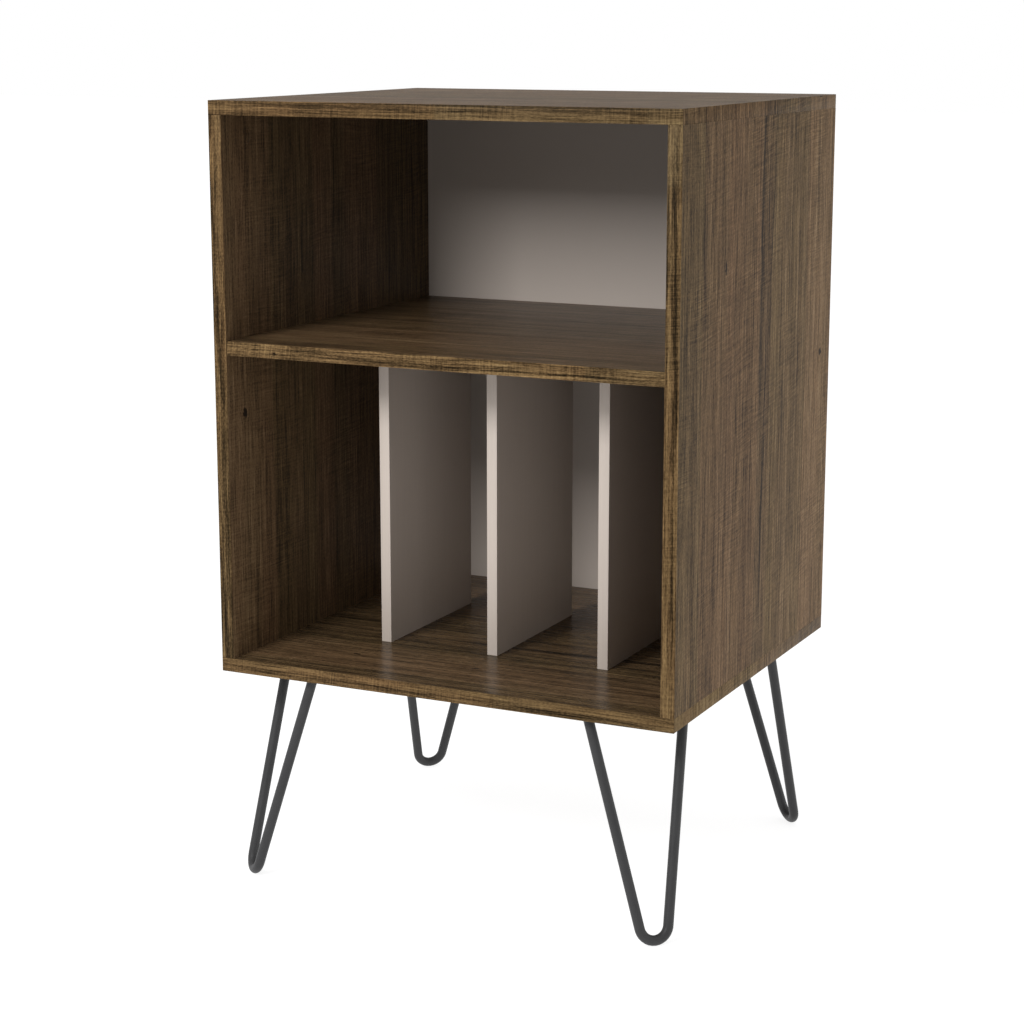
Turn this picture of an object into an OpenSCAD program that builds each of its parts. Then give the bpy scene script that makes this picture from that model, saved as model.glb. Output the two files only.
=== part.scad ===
// Record storage stand: a laminated two-compartment cabinet on four hairpin legs.
// The front faces -Y and +Z is up. The origin is on the floor, under the middle of the stand.

/* [Cabinet] */
// Outside width of the cabinet
cabinet_w = 526; // [440:1:760]
// Depth of the boards, from the front face to the rear edges
cabinet_d = 457; // [400:1:560]
// Height of the cabinet, from its underside to its top
cabinet_h = 609.5; // [540:0.5:800]
// Thickness of the top, bottom, side and shelf boards
board_t = 15; // [14.5:0.5:22]

/* [Shelf] */
// Clear height of the record compartment under the shelf
lower_clear_h = 330; // [260:1:380]
// How far the shelf's front edge stands behind the sides
shelf_setback = 1.25; // [0:0.25:30]

/* [Dividers] */
// Thickness of a record divider
divider_t = 12; // [9:0.5:16]
// Depth of a divider, front to rear
divider_d = 196.5; // [150:0.5:260]
// How far the dividers stand behind the cabinet's front face
divider_setback = 133.5; // [20:0.5:180]
// Distance between the middles of neighbouring dividers
divider_pitch = 130.5; // [60:0.5:150]
// Place of the middle divider, to the right of the cabinet's middle
divider_shift = -3; // [-20:0.5:20]

/* [Back] */
// Thickness of the hardboard back
back_t = 3; // [2.5:0.5:6]
// How far the back's outline stays inside the cabinet's outline
back_margin = 1.5; // [0:0.5:5]

/* [Edge bands] */
// Thickness of the bands glued to the visible board edges
band_t = 0.5; // [0.3:0.1:2]

/* [Legs] */
// Height of a leg, from the floor to the cabinet's underside
leg_h = 233; // [120:1:400]
// Diameter of the leg rod
rod_d = 10.8; // [6:0.1:14]
// Radius of the rod's middle line at the foot's bend
bend_r = 16; // [10:0.5:30]
// Distance between a leg's two rods at the cabinet's underside
leg_spread = 106.5; // [80:0.5:130]
// Angle of a leg's plane from the vertical, out towards the corner
leg_splay = 14.25; // [0:0.25:20]
// Middle of a leg's top, in from the cabinet's left or right side
leg_side_inset = 64.5; // [55:0.5:90]
// Middle of a front leg's top, in from the front face
leg_front_inset = 57.5; // [52:0.5:90]
// Middle of a rear leg's top, in from the rear edges
leg_rear_inset = 65; // [55:0.5:90]

/* [Leg plates] */
// Thickness of a leg's mounting plate
plate_t = 3; // [2:0.5:5]
// From the middle of a leg's top out to the plate's two long edges
plate_reach = 48; // [46:0.5:52]
// Length of a plate's two long edges
plate_l = 112; // [104:1:130]
// Width of a plate at its two tips
plate_tip = 26; // [18:1:40]
// Radius of the plate's corners
plate_corner_r = 5; // [2:0.5:8]
// From a screw's middle to the nearest edges of the plate
plate_screw_margin = 12; // [9:0.5:14]
// Distance between the two screws along the plate's slanted edge
plate_screw_gap = 50; // [30:1:60]

/* [Cam fittings] */
// Diameter of a cam lock
cam_d = 14.8; // [12:0.1:18]
// How far a cam lock reaches past the middle of its board
cam_past = 4.5; // [4:0.25:6]
// From a board's edge to the middle of its cam lock
cam_edge = 24; // [20:0.5:34]
// Thickness of the cover disc over a cam lock
cover_t = 0.8; // [0.4:0.1:1.5]
// Diameter of a cam bolt's shank and head
cam_bolt_d = 6.6; // [5:0.1:7]
// Diameter of a cam bolt's neck, which the cam grips
cam_neck_d = 4; // [3:0.25:4.5]
// How far a cam bolt's thread goes into the other board
cam_bolt_depth = 10.5; // [8:0.5:12]

/* [Dowels and screws] */
// Diameter of a beech dowel
dowel_d = 7.8; // [6:0.1:8]
// Length of a beech dowel
dowel_l = 30; // [24:1:40]
// How far a dowel goes into the face of a board
dowel_depth = 10.5; // [8:0.5:12]
// Diameter of a divider's dowel
divider_dowel_d = 5.8; // [4:0.1:6.5]
// Length of a divider's dowel
divider_dowel_l = 25; // [20:1:35]
// Diameter of a long cabinet screw
long_screw_d = 6.4; // [5:0.1:7]
// Length of a long cabinet screw
long_screw_l = 50; // [40:1:60]
// Diameter of a long cabinet screw's head
long_screw_head_d = 10; // [8.5:0.1:11]
// Diameter of a divider screw
divider_screw_d = 3.9; // [3:0.1:4.5]
// Length of a divider screw
divider_screw_l = 35; // [30:1:45]
// Diameter of a divider screw's head
divider_screw_head_d = 7.6; // [6.5:0.1:9]
// Diameter of a leg screw
leg_screw_d = 4.1; // [3:0.1:5]
// Length of a leg screw under its head
leg_screw_l = 15; // [10:0.5:16]
// Diameter of a leg screw's head
leg_screw_head_d = 8; // [6.5:0.1:10]
// Height of a leg screw's head
leg_screw_head_h = 2.4; // [1.8:0.1:3.2]
// From the front or rear of a joint to its first fitting
joint_end = 50; // [36:1:70]
// From a joint's first fitting to its dowel
joint_step = 64; // [32:1:90]
// From a divider's front or rear to its screw and dowel
divider_end = 40; // [20:1:60]

/* [Back nails] */
// Diameter of a back nail
nail_d = 1.6; // [1.2:0.1:2.2]
// Length of a back nail under its head
nail_l = 20; // [14:1:25]
// Diameter of a nail's head
nail_head_d = 4; // [3:0.1:6]
// Height of a nail's head
nail_head_h = 0.8; // [0.5:0.1:1.5]
// Greatest distance between neighbouring nails
nail_pitch = 105; // [60:5:150]
// From the cabinet's corners to the first nail
nail_corner = 45; // [30:1:70]

/* [Fit] */
// Gap all round a pin, screw or cam in its hole
fit = 0.1; // [0.05:0.05:0.2]

/* [Hidden] */
$fn = 64;

walnut = "#6e563f";
walnut_edge = "#8a6a44";
taupe = "#c9bcb0";
warm_grey = "#b9b1a9";
charcoal = "#3c3e40";
zinc = "#b8babc";
beech = "#d9bd8c";

// Levels, from the floor up
under_z = leg_h;
floor_z = under_z + board_t;
shelf_z0 = floor_z + lower_clear_h;
shelf_z1 = shelf_z0 + board_t;
top_z1 = under_z + cabinet_h;
top_z0 = top_z1 - board_t;

// Depths, from the front face to the nail heads behind the back
front_y = -(cabinet_d + back_t + nail_head_h) / 2;
rear_y = front_y + cabinet_d;
back_y = rear_y + back_t;

// Widths, on the right half
side_x1 = cabinet_w / 2;
side_x0 = side_x1 - board_t;
side_mid_x = side_x1 - board_t / 2;

// Places of the fittings along a joint
fitting_ys = [front_y + joint_end, rear_y - joint_end];
dowel_ys = [front_y + joint_end + joint_step, rear_y - joint_end - joint_step];
screw_ys = [front_y + joint_end, (front_y + rear_y) / 2, rear_y - joint_end];

divider_y0 = front_y + divider_setback;
divider_y1 = divider_y0 + divider_d;
divider_xs = [divider_shift - divider_pitch, divider_shift, divider_shift + divider_pitch];
divider_pin_ys = [divider_y0 + divider_end, divider_y1 - divider_end];

cam_l = board_t / 2 + cam_past;
shelf_mid_z = (shelf_z0 + shelf_z1) / 2;
sides = [-1, 1];
overlap = 1; // how far a cutting shape runs past the face that it cuts

// Shapes of the fasteners, as shares of their own head or diameter
recess_w = 0.5; // a cross recess, to the width of its head
recess_arm = 0.25; // the thickness of the recess's arms, to the recess
recess_depth = 0.7; // the recess, to the height of its head
cam_recess_depth = 0.15; // the recess of a cam lock, to the lock's length
point_w = 0.25; // the flat at a screw's point, to its diameter
dowel_bevel = 0.125; // the bevel at a dowel's ends, to its diameter
cam_neck = 0.25; // the length of a cam bolt's neck, to its lock's diameter
cam_head = 0.15; // the length of a cam bolt's head, to its lock's diameter

// A leg, in the upright plane of its V, before it is splayed
leg_l = (leg_h - rod_d / 2) / cos(leg_splay);
bend_z = leg_l - bend_r;
leg_slant = norm([leg_spread / 2, bend_z]);
rod_angle = atan2(leg_spread / 2, bend_z) - asin(bend_r / leg_slant);
rod_l = sqrt(leg_slant * leg_slant - bend_r * bend_r);

// The front left plate, seen from the middle of its leg's top
plate_outline = [
    [0, 0], [plate_l, 0], [plate_l, plate_tip], [plate_tip, plate_l], [0, plate_l]
];
plate_slant_mid = (plate_l + plate_tip - plate_screw_margin * sqrt(2)) / 2;
plate_slant_off = plate_screw_gap / 2 / sqrt(2);
plate_screws = [
    [plate_l - plate_screw_margin, plate_screw_margin],
    [plate_screw_margin, plate_l - plate_screw_margin],
    [plate_slant_mid + plate_slant_off, plate_slant_mid - plate_slant_off],
    [plate_slant_mid - plate_slant_off, plate_slant_mid + plate_slant_off]
];

// ---- Helpers ----

// A box from its lowest to its highest corner
module block(low, high) {
    translate(low) cube(high - low);
}

// The right-hand child, and its mirror image on the left
module both_sides() {
    for (side = sides) mirror([side < 0 ? 1 : 0, 0, 0]) children();
}

// What is drawn for the front left leg, at the leg on side and end (-1 left or front, 1 right or rear)
module at_leg(side, end) {
    leg_y = end < 0 ? front_y + leg_front_inset : rear_y - leg_rear_inset;
    translate([side * (side_x1 - leg_side_inset), leg_y, under_z])
        mirror([side > 0 ? 1 : 0, 0, 0])
        mirror([0, end > 0 ? 1 : 0, 0])
        children();
}

module at_each_leg() {
    for (side = sides) for (end = [-1, 1]) at_leg(side, end) children();
}

// A flat outline with rounded corners, exact arcs on straight edges
function edge_normal(pts, i) =
    let (a = pts[i], b = pts[(i + 1) % len(pts)])
    [b.y - a.y, a.x - b.x] / norm(b - a);
function corner_centre(pts, i, r) =
    let (n0 = edge_normal(pts, (i + len(pts) - 1) % len(pts)), n1 = edge_normal(pts, i))
    pts[i] - (n0 + n1) * r / (1 + n0 * n1);

module rounded_outline(pts, r) {
    centres = [for (i = [0:len(pts) - 1]) corner_centre(pts, i, r)];
    polygon([
        for (i = [0:len(pts) - 1])
            for (j = [i + len(pts) - 1, i]) centres[i] + edge_normal(pts, j % len(pts)) * r
    ]);
    for (c = centres) translate(c) circle(r);
}

// ---- Fasteners, each with its outer end at the origin and its shank along +Z ----

module cross_recess(head_w, depth) {
    width = head_w * recess_w;
    arm = width * recess_arm;
    for (turn = [0, 90]) rotate(turn)
        translate([-width / 2, -arm / 2, -overlap]) cube([width, arm, depth + overlap]);
}

// A shank with a short point at its far end
module shank(d, l) {
    cylinder(h = l - d, d = d);
    translate([0, 0, l - d]) cylinder(h = d, d1 = d, d2 = d * point_w);
}

// A flat-headed screw with a 90 degree countersink
module flat_screw(d, l, head_d) {
    head_h = (head_d - d) / 2;
    difference() {
        union() {
            cylinder(h = head_h, d1 = head_d, d2 = d);
            shank(d, l);
        }
        cross_recess(head_d, head_h * recess_depth);
    }
}

module flat_screw_hole(d, l, head_d) {
    head_h = (head_d - d) / 2;
    translate([0, 0, -overlap]) cylinder(h = overlap, d = head_d + 2 * fit);
    cylinder(h = head_h, d1 = head_d + 2 * fit, d2 = d + 2 * fit);
    cylinder(h = l + fit, d = d + 2 * fit);
}

// A domed screw: the head stands outside the origin and the shank runs inwards
module dome_screw(d, l, head_d, head_h) {
    dome_r = (head_d * head_d / 4 + head_h * head_h) / (2 * head_h);
    difference() {
        union() {
            rotate([180, 0, 0]) rotate_extrude() intersection() {
                translate([0, head_h - dome_r]) circle(dome_r);
                square([head_d / 2, head_h]);
            }
            shank(d, l);
        }
        translate([0, 0, -head_h]) cross_recess(head_d, head_h * recess_depth);
    }
}

module dowel(d, l) {
    bevel = d * dowel_bevel;
    rotate_extrude() polygon([
        [0, 0], [d / 2 - bevel, 0], [d / 2, bevel], [d / 2, l - bevel], [d / 2 - bevel, l], [0, l]
    ]);
}

// A bolt from the face of one board, at the origin, to the cam in the edge of the next.
// The thread runs inwards along +Z and the shank stands out along -Z.
module cam_bolt() {
    neck_l = cam_d * cam_neck;
    head_l = cam_d * cam_head;
    shank_l = cam_edge - neck_l - head_l / 2;
    cylinder(h = cam_bolt_depth, d = cam_bolt_d);
    translate([0, 0, -shank_l]) cylinder(h = shank_l, d = cam_bolt_d);
    translate([0, 0, -shank_l - neck_l]) cylinder(h = neck_l, d = cam_neck_d);
    translate([0, 0, -cam_edge - head_l / 2]) cylinder(h = head_l, d = cam_bolt_d);
}

module cam_bolt_hole(l) {
    cylinder(h = l, d = cam_bolt_d + 2 * fit);
}

// A cam lock with its face at the origin and its body along +Z; the bolt comes in along +X
module cam_lock(bolt_at) {
    difference() {
        cylinder(h = cam_l, d = cam_d);
        translate([-cam_d * cam_neck, 0, bolt_at]) rotate([0, 90, 0])
            cylinder(h = cam_d, d = cam_bolt_d + 2 * fit);
        cross_recess(cam_d, cam_l * cam_recess_depth);
    }
}

module cam_hole(depth) {
    translate([0, 0, -overlap]) cylinder(h = depth + overlap, d = cam_d + 2 * fit);
}

// ---- Where the fasteners sit; each place is used by the fastener and by its holes ----

// Cam bolts from the underside of the top panel, pointing up
module top_bolt_places() {
    both_sides() for (y = fitting_ys) translate([side_mid_x, y, top_z0]) children();
}

// Cam locks in the inner faces of the sides, their faces inwards and their bolts from above
module top_cam_places() {
    both_sides() for (y = fitting_ys)
        translate([side_x0, y, top_z0 - cam_edge]) rotate([0, 90, 0]) rotate([0, 0, 180]) children();
}

module top_dowel_places() {
    both_sides() for (y = dowel_ys) translate([side_mid_x, y, top_z0 + dowel_depth]) children();
}

// Cam bolts from the inner faces of the sides, pointing outwards
module shelf_bolt_places() {
    both_sides() for (y = fitting_ys) translate([side_x0, y, shelf_mid_z]) rotate([0, 90, 0]) children();
}

// Cam locks in the underside of the shelf, their faces down and their bolts from the side
module shelf_cam_places() {
    both_sides() for (y = fitting_ys) translate([side_x0 - cam_edge, y, shelf_z0]) children();
}

module shelf_dowel_places() {
    both_sides() for (y = dowel_ys)
        translate([side_x0 + dowel_depth, y, shelf_mid_z]) rotate([0, -90, 0]) children();
}

module bottom_screw_places() {
    both_sides() for (y = screw_ys) translate([side_mid_x, y, under_z]) children();
}

module bottom_dowel_places() {
    both_sides() for (y = dowel_ys) translate([side_mid_x, y, floor_z - dowel_depth]) children();
}

module divider_screw_places() {
    for (x = divider_xs) for (y = divider_pin_ys) translate([x, y, under_z]) children();
}

module divider_dowel_places() {
    for (x = divider_xs) for (y = divider_pin_ys)
        translate([x, y, shelf_z0 + dowel_depth]) rotate([180, 0, 0]) children();
}

module leg_screw_places() {
    at_each_leg() for (p = plate_screws)
        translate([p.x - plate_reach, p.y - plate_reach, -plate_t]) children();
}

// Points from one end of a run to the other, no further apart than the nails may be
function nail_run(from, to) =
    let (steps = max(1, ceil((to - from) / nail_pitch)))
    [for (i = [0:steps]) from + (to - from) * i / steps];

module back_nail_places() {
    xs = nail_run(nail_corner - side_x1, side_x1 - nail_corner);
    zs = nail_run(under_z + nail_corner, top_z1 - nail_corner);
    for (x = xs) for (z = [under_z + board_t / 2, shelf_mid_z, top_z1 - board_t / 2])
        translate([x, back_y, z]) rotate([90, 0, 0]) children();
    both_sides() for (z = zs) translate([side_mid_x, back_y, z]) rotate([90, 0, 0]) children();
}

// ---- Holes ----

module dowel_hole(d, l) {
    translate([0, 0, -2 * fit]) cylinder(h = l + 4 * fit, d = d + 2 * fit);
}

module nail_hole() {
    cylinder(h = nail_l + fit, d = nail_d + 2 * fit);
}

module leg_screw_hole() {
    cylinder(h = leg_screw_l + fit, d = leg_screw_d + 2 * fit);
}

module back_nail_holes() {
    back_nail_places() translate([0, 0, -overlap]) cylinder(h = overlap, d = nail_d + 2 * fit);
    back_nail_places() nail_hole();
}

module top_joint_holes() {
    top_bolt_places() {
        cam_bolt_hole(cam_bolt_depth + fit);
        translate([0, 0, -cam_edge]) cam_bolt_hole(cam_edge);
    }
    top_cam_places() cam_hole(cam_l + cover_t + fit);
    top_dowel_places() rotate([180, 0, 0]) dowel_hole(dowel_d, dowel_l);
}

module shelf_joint_holes() {
    shelf_bolt_places() {
        cam_bolt_hole(cam_bolt_depth + fit);
        translate([0, 0, -cam_edge]) cam_bolt_hole(cam_edge);
    }
    shelf_cam_places() cam_hole(cam_l + fit);
    shelf_dowel_places() dowel_hole(dowel_d, dowel_l);
}

module bottom_joint_holes() {
    bottom_screw_places() flat_screw_hole(long_screw_d, long_screw_l, long_screw_head_d);
    bottom_dowel_places() dowel_hole(dowel_d, dowel_l);
}

module divider_holes() {
    divider_screw_places() flat_screw_hole(divider_screw_d, divider_screw_l, divider_screw_head_d);
    divider_dowel_places() dowel_hole(divider_dowel_d, divider_dowel_l);
}

// ---- Boards ----

module top_panel() {
    color(walnut) difference() {
        block([band_t - side_x1, front_y + band_t, top_z0], [side_x1 - band_t, rear_y, top_z1]);
        top_joint_holes();
        back_nail_holes();
    }
}

module bottom_panel() {
    color(walnut) difference() {
        block([band_t - side_x1, front_y + band_t, under_z], [side_x1 - band_t, rear_y, floor_z]);
        bottom_joint_holes();
        divider_holes();
        leg_screw_places() leg_screw_hole();
        back_nail_holes();
    }
}

// The right side; the left one is its mirror image
module side_panel() {
    color(walnut) difference() {
        block([side_x0, front_y + band_t, floor_z], [side_x1, rear_y, top_z0]);
        top_joint_holes();
        shelf_joint_holes();
        bottom_joint_holes();
        back_nail_holes();
    }
}

module shelf_panel() {
    color(walnut) difference() {
        block([-side_x0, front_y + shelf_setback + band_t, shelf_z0], [side_x0, rear_y, shelf_z1]);
        shelf_joint_holes();
        divider_holes();
        back_nail_holes();
    }
}

module back_panel() {
    color(warm_grey) difference() {
        block(
            [back_margin - side_x1, rear_y, under_z + back_margin],
            [side_x1 - back_margin, back_y, top_z1 - back_margin]
        );
        back_nail_holes();
    }
}

module divider(x) {
    color(taupe) difference() {
        block(
            [x - divider_t / 2, divider_y0 + band_t, floor_z],
            [x + divider_t / 2, divider_y1, shelf_z0]
        );
        divider_holes();
    }
}

// ---- Edge bands ----

// The front band of the top or bottom board, over the ends of its side bands
module board_front_band(z) {
    color(walnut_edge)
        block([-side_x1, front_y, z], [side_x1, front_y + band_t, z + board_t]);
}

// The right band of the top or bottom board
module board_end_band(z) {
    color(walnut_edge)
        block([side_x1 - band_t, front_y + band_t, z], [side_x1, rear_y, z + board_t]);
}

module side_band() {
    color(walnut_edge)
        block([side_x0, front_y, floor_z], [side_x1, front_y + band_t, top_z0]);
}

module shelf_front_band() {
    y = front_y + shelf_setback;
    color(walnut_edge) block([-side_x0, y, shelf_z0], [side_x0, y + band_t, shelf_z1]);
}

module divider_band(x) {
    color(taupe) block(
        [x - divider_t / 2, divider_y0, floor_z],
        [x + divider_t / 2, divider_y0 + band_t, shelf_z0]
    );
}

// ---- Legs ----

// The right half of a rod in its own plane, cut at the lowest point of its bend
module rod_half() {
    difference() {
        translate([0, 0, -bend_z]) rotate([0, rod_angle, 0]) {
            translate([bend_r, 0, 0]) cylinder(h = rod_l + rod_d, d = rod_d);
            rotate([-90, 0, 0]) rotate_extrude(angle = 90) translate([bend_r, 0]) circle(d = rod_d);
        }
        translate([-2 * bend_r, -rod_d, -leg_l - rod_d]) cube([2 * bend_r, 2 * rod_d, leg_l]);
    }
}

// One bent rod, drawn for the front left leg and cut level under its plate
module leg_rod(side, end) {
    color(charcoal) at_leg(side, end) difference() {
        rotate([0, 0, -45]) rotate([-leg_splay, 0, 0]) both_sides() rod_half();
        translate([-leg_spread, -leg_spread, -plate_t])
            cube([2 * leg_spread, 2 * leg_spread, plate_t + 2 * rod_d]);
    }
}

module leg_plate(side, end) {
    color(charcoal) difference() {
        at_leg(side, end) translate([-plate_reach, -plate_reach, -plate_t])
            linear_extrude(plate_t) rounded_outline(plate_outline, plate_corner_r);
        leg_screw_places() translate([0, 0, -overlap])
            cylinder(h = plate_t + 2 * overlap, d = leg_screw_d + 4 * fit);
    }
}

// ---- Fastener groups ----

module leg_screws() {
    color(zinc) leg_screw_places() dome_screw(leg_screw_d, leg_screw_l, leg_screw_head_d, leg_screw_head_h);
}

module top_cam_bolts() {
    color(zinc) top_bolt_places() cam_bolt();
}

module top_cam_locks() {
    color(zinc) top_cam_places() translate([0, 0, cover_t]) cam_lock(board_t / 2 - cover_t);
}

module top_cam_covers() {
    color(walnut) top_cam_places() cylinder(h = cover_t, d = cam_d);
}

module top_dowels() {
    color(beech) top_dowel_places() rotate([180, 0, 0]) dowel(dowel_d, dowel_l);
}

module shelf_cam_bolts() {
    color(zinc) shelf_bolt_places() cam_bolt();
}

module shelf_cam_locks() {
    color(zinc) shelf_cam_places() cam_lock(board_t / 2);
}

module shelf_dowels() {
    color(beech) shelf_dowel_places() dowel(dowel_d, dowel_l);
}

module bottom_screws() {
    color(zinc) bottom_screw_places() flat_screw(long_screw_d, long_screw_l, long_screw_head_d);
}

module bottom_dowels() {
    color(beech) bottom_dowel_places() dowel(dowel_d, dowel_l);
}

module divider_screws() {
    color(zinc) divider_screw_places()
        flat_screw(divider_screw_d, divider_screw_l, divider_screw_head_d);
}

module divider_dowels() {
    color(beech) divider_dowel_places() dowel(divider_dowel_d, divider_dowel_l);
}

module back_nails() {
    color(zinc) back_nail_places() {
        cylinder(h = nail_l, d = nail_d);
        translate([0, 0, -nail_head_h]) cylinder(h = nail_head_h, d = nail_head_d);
    }
}

top_panel();
bottom_panel();
mirror([1, 0, 0]) side_panel();  // left_side_panel
side_panel();  // right_side_panel
shelf_panel();
back_panel();
divider(divider_xs[0]);  // divider_left
divider(divider_xs[1]);  // divider_center
divider(divider_xs[2]);  // divider_right
board_front_band(top_z0);  // top_front_band
mirror([1, 0, 0]) board_end_band(top_z0);  // top_left_band
board_end_band(top_z0);  // top_right_band
board_front_band(under_z);  // bottom_front_band
mirror([1, 0, 0]) board_end_band(under_z);  // bottom_left_band
board_end_band(under_z);  // bottom_right_band
mirror([1, 0, 0]) side_band();  // left_side_band
side_band();  // right_side_band
shelf_front_band();
divider_band(divider_xs[0]);  // divider_left_band
divider_band(divider_xs[1]);  // divider_center_band
divider_band(divider_xs[2]);  // divider_right_band
leg_rod(-1, -1);  // leg_rod_front_left
leg_rod(1, -1);  // leg_rod_front_right
leg_rod(-1, 1);  // leg_rod_rear_left
leg_rod(1, 1);  // leg_rod_rear_right
leg_plate(-1, -1);  // leg_plate_front_left
leg_plate(1, -1);  // leg_plate_front_right
leg_plate(-1, 1);  // leg_plate_rear_left
leg_plate(1, 1);  // leg_plate_rear_right
leg_screws();
top_cam_bolts();
top_cam_locks();
top_cam_covers();
top_dowels();
shelf_cam_bolts();
shelf_cam_locks();
shelf_dowels();
bottom_screws();
bottom_dowels();
divider_screws();
divider_dowels();
back_nails();
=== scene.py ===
import math

import bmesh
import bpy
from mathutils import Euler, Matrix, Vector


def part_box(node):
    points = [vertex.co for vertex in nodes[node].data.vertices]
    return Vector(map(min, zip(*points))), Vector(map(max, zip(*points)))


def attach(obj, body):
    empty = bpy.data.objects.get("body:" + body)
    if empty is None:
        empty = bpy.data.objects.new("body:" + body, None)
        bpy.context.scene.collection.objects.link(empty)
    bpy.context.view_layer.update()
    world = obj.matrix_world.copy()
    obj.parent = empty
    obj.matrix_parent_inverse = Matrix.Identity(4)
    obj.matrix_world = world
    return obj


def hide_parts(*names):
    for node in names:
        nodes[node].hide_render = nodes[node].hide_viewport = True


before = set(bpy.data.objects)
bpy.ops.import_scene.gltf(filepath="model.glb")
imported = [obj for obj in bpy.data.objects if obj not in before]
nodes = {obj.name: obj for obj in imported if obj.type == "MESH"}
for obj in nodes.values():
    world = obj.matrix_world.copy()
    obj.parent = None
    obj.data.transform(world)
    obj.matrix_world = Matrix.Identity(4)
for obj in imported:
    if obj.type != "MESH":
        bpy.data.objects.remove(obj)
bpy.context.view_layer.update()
body = "root"  # nothing on the stand moves
print("frame loaded,", len(nodes), "nodes")

millimetre = 0.001


# Node trees

class Wire:  # a node's output, with arithmetic on it
    def __init__(self, net, socket):
        self.net = net
        self.socket = socket

    def calc(self, operation, *others):
        values = dict(enumerate((self,) + others))
        return self.net.add("ShaderNodeMath", {"operation": operation}, values)

    def swapped(self, operation, other):
        return self.net.add("ShaderNodeMath", {"operation": operation}, {0: other, 1: self})

    def __add__(self, other):
        return self.calc("ADD", other)

    __radd__ = __add__

    def __sub__(self, other):
        return self.calc("SUBTRACT", other)

    def __rsub__(self, other):
        return self.swapped("SUBTRACT", other)

    def __mul__(self, other):
        return self.calc("MULTIPLY", other)

    __rmul__ = __mul__

    def __truediv__(self, other):
        return self.calc("DIVIDE", other)

    def __rtruediv__(self, other):
        return self.swapped("DIVIDE", other)

    def __abs__(self):
        return self.calc("ABSOLUTE")

    def over(self, level):  # 1 where the value is above the level
        return self.calc("GREATER_THAN", level)

    def ease(self, low, high):  # 0 at low, 1 at high, smooth between
        limits = {"Value": self, "From Min": low, "From Max": high}
        return self.net.add("ShaderNodeMapRange", {"interpolation_type": "SMOOTHSTEP"}, limits)


class Net:  # a node tree that is being built
    def __init__(self, tree):
        self.tree = tree
        tree.nodes.clear()

    def add(self, kind, settings=(), values=(), out=0):
        node = self.tree.nodes.new(kind)
        for name, value in dict(settings).items():
            if name == "stops":
                self.setStops(node.color_ramp.elements, value)
            else:
                setattr(node, name, value)
        for name, value in dict(values).items():
            if isinstance(value, Wire):
                self.tree.links.new(value.socket, node.inputs[name])
            else:
                node.inputs[name].default_value = value
        return Wire(self, node.outputs[out]) if node.outputs else None

    def setStops(self, elements, stops):
        while len(elements) > 1:
            elements.remove(elements[-1])
        elements[0].position = stops[0][0]
        elements[0].color = rgba(stops[0][1])
        for position, colour in stops[1:]:
            elements.new(position).color = rgba(colour)

    def place(self, x, y, z):
        return self.add("ShaderNodeCombineXYZ", {}, {0: x, 1: y, 2: z})

    def objectPlace(self):
        return self.add("ShaderNodeTexCoord", {}, {}, "Object")

    def parts(self, vector):
        first = self.add("ShaderNodeSeparateXYZ", {}, {0: vector})
        return [Wire(self, output) for output in first.socket.node.outputs]

    def noise(self, place, detail=2.0, roughness=0.5):
        values = {"Vector": place, "Scale": 1.0, "Detail": detail, "Roughness": roughness}
        return self.add("ShaderNodeTexNoise", {}, values)

    def speckle(self, place, scale, detail=2.0, roughness=0.5):  # noise with its own scale along each axis
        scaled = self.add("ShaderNodeVectorMath", {"operation": "MULTIPLY"}, {0: place, 1: scale})
        return self.noise(scaled, detail, roughness)

    def ramp(self, value, stops):
        return self.add("ShaderNodeValToRGB", {"stops": stops}, {"Fac": value})

    def blend(self, factor, first, second, how="MIX"):
        settings = {"data_type": "RGBA", "blend_type": how}
        return self.add("ShaderNodeMix", settings, {0: factor, 6: first, 7: second}, 2)


def rgba(colour):
    if isinstance(colour, (int, float)):
        colour = (colour, colour, colour)
    return (*colour, 1.0)


def shaded(colour, share):
    return tuple(value * share for value in colour)


def startMaterial(name):
    material = bpy.data.materials.new(name)
    material.use_nodes = True
    net = Net(material.node_tree)
    return material, net


def endMaterial(net, colour, roughness, height, depth, strength=1.0, **fixed):
    relief = {"Height": height, "Distance": depth, "Strength": strength}
    bump = net.add("ShaderNodeBump", {}, relief)
    values = {"Base Color": colour, "Roughness": roughness, "Normal": bump}
    for label, value in fixed.items():
        values[label.replace("_", " ")] = value
    skin = net.add("ShaderNodeBsdfPrincipled", {}, values)
    net.add("ShaderNodeOutputMaterial", {}, {"Surface": skin})


# Studio: camera, air, lights and floor

studio = {
    "cameraPlace": (1.0818, -2.2937, 0.9288),
    "cameraTilt": 12.019,
    "cameraTurn": 25.777,
    "lens": 82.16,
    "air": 0.73,
    "backdrop": 1.0,
    "floorHalf": 20.0,
    "floorColour": 0.28,
    "floorMottle": 0.98,  # its darker spots
    "floorRoughness": 0.9,
    "floorGlow": 0.84,  # as the camera sees it, so that it is as white as the backdrop
    "floorSheen": 1.15,  # as glossy faces reflect it
    "floorBounce": [(0.28, 0.80), (0.68, 0.30)],  # as it lights the stand: strongest near it
    "floorFade": 0.2,  # the bounce's positions per metre
    "lights": {  # place, what it points at, size, power
        "key": ((-0.441, -1.655, 1.340), (-0.441, 0.0, 1.340), 0.400, 24.0),
        "fill": ((-0.731, -2.729, 2.052), (0.0, 0.0, 0.55), 1.6, 24.0),
        "sideFill": ((2.100, 0.900, 0.350), (0.26, 0.10, 0.40), 1.2, 11.8),
    },
}


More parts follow.
